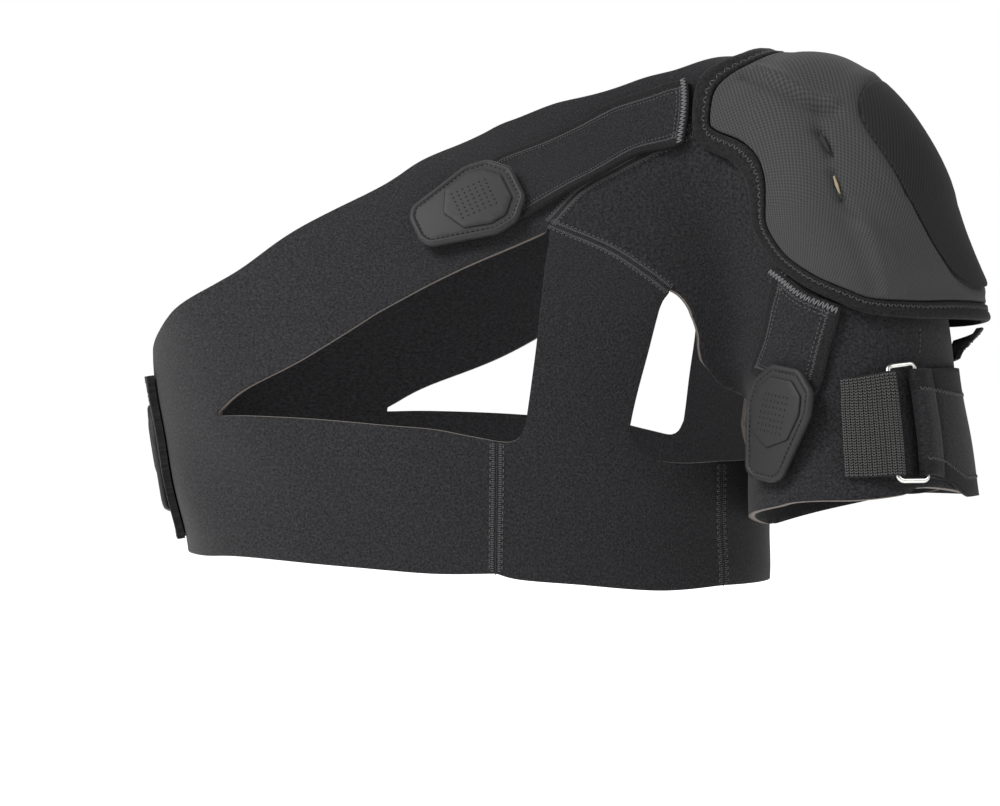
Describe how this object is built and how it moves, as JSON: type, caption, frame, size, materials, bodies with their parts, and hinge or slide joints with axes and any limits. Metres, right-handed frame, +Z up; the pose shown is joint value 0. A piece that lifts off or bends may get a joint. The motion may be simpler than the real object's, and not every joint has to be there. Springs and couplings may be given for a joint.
{
  "type": "shoulder brace",
  "caption": "Neoprene chest-and-shoulder harness with open sleeve, moulded shoulder pad, pull-tab straps and a buckled arm strap, in its worn form.",
  "frame": {"origin": "the shoulder seat: the top of the wearer's left shoulder, on the inside of the brace", "axes": "+X towards the wearer's left, -Y towards the wearer's front, +Z up along the upright wearer"},
  "size_m": [0.4622, 0.2511, 0.2736],
  "materials": {
    "neoprene": "matte knit face over foam rubber",
    "pad_mesh": "coarse woven face, moulded",
    "binding_tape": "matte folded tape",
    "pad_leaf_sheet": "smooth matte sheet",
    "tab_rubber": "satin moulded rubber",
    "webbing": "ribbed elastic weave",
    "loop_metal": "satin nickel-plated wire"
  },
  "bodies": {
    "root": {"front_harness": "neoprene", "back_harness": "neoprene", "pectoral_panel": "neoprene", "scapular_panel": "neoprene", "shoulder_sleeve": "neoprene", "shoulder_pad": "pad_mesh", "pad_binding": "binding_tape", "pad_leaf": "pad_leaf_sheet", "upper_pad_strap": "neoprene", "lower_pad_strap": "neoprene", "rear_pad_strap": "neoprene", "closure_flap": "neoprene", "chest_tab": "tab_rubber", "arm_tab": "tab_rubber", "side_tab": "tab_rubber", "elastic_webbing": "webbing", "arm_strap": "neoprene", "strap_loop": "loop_metal"}
  },
  "joints": []
}
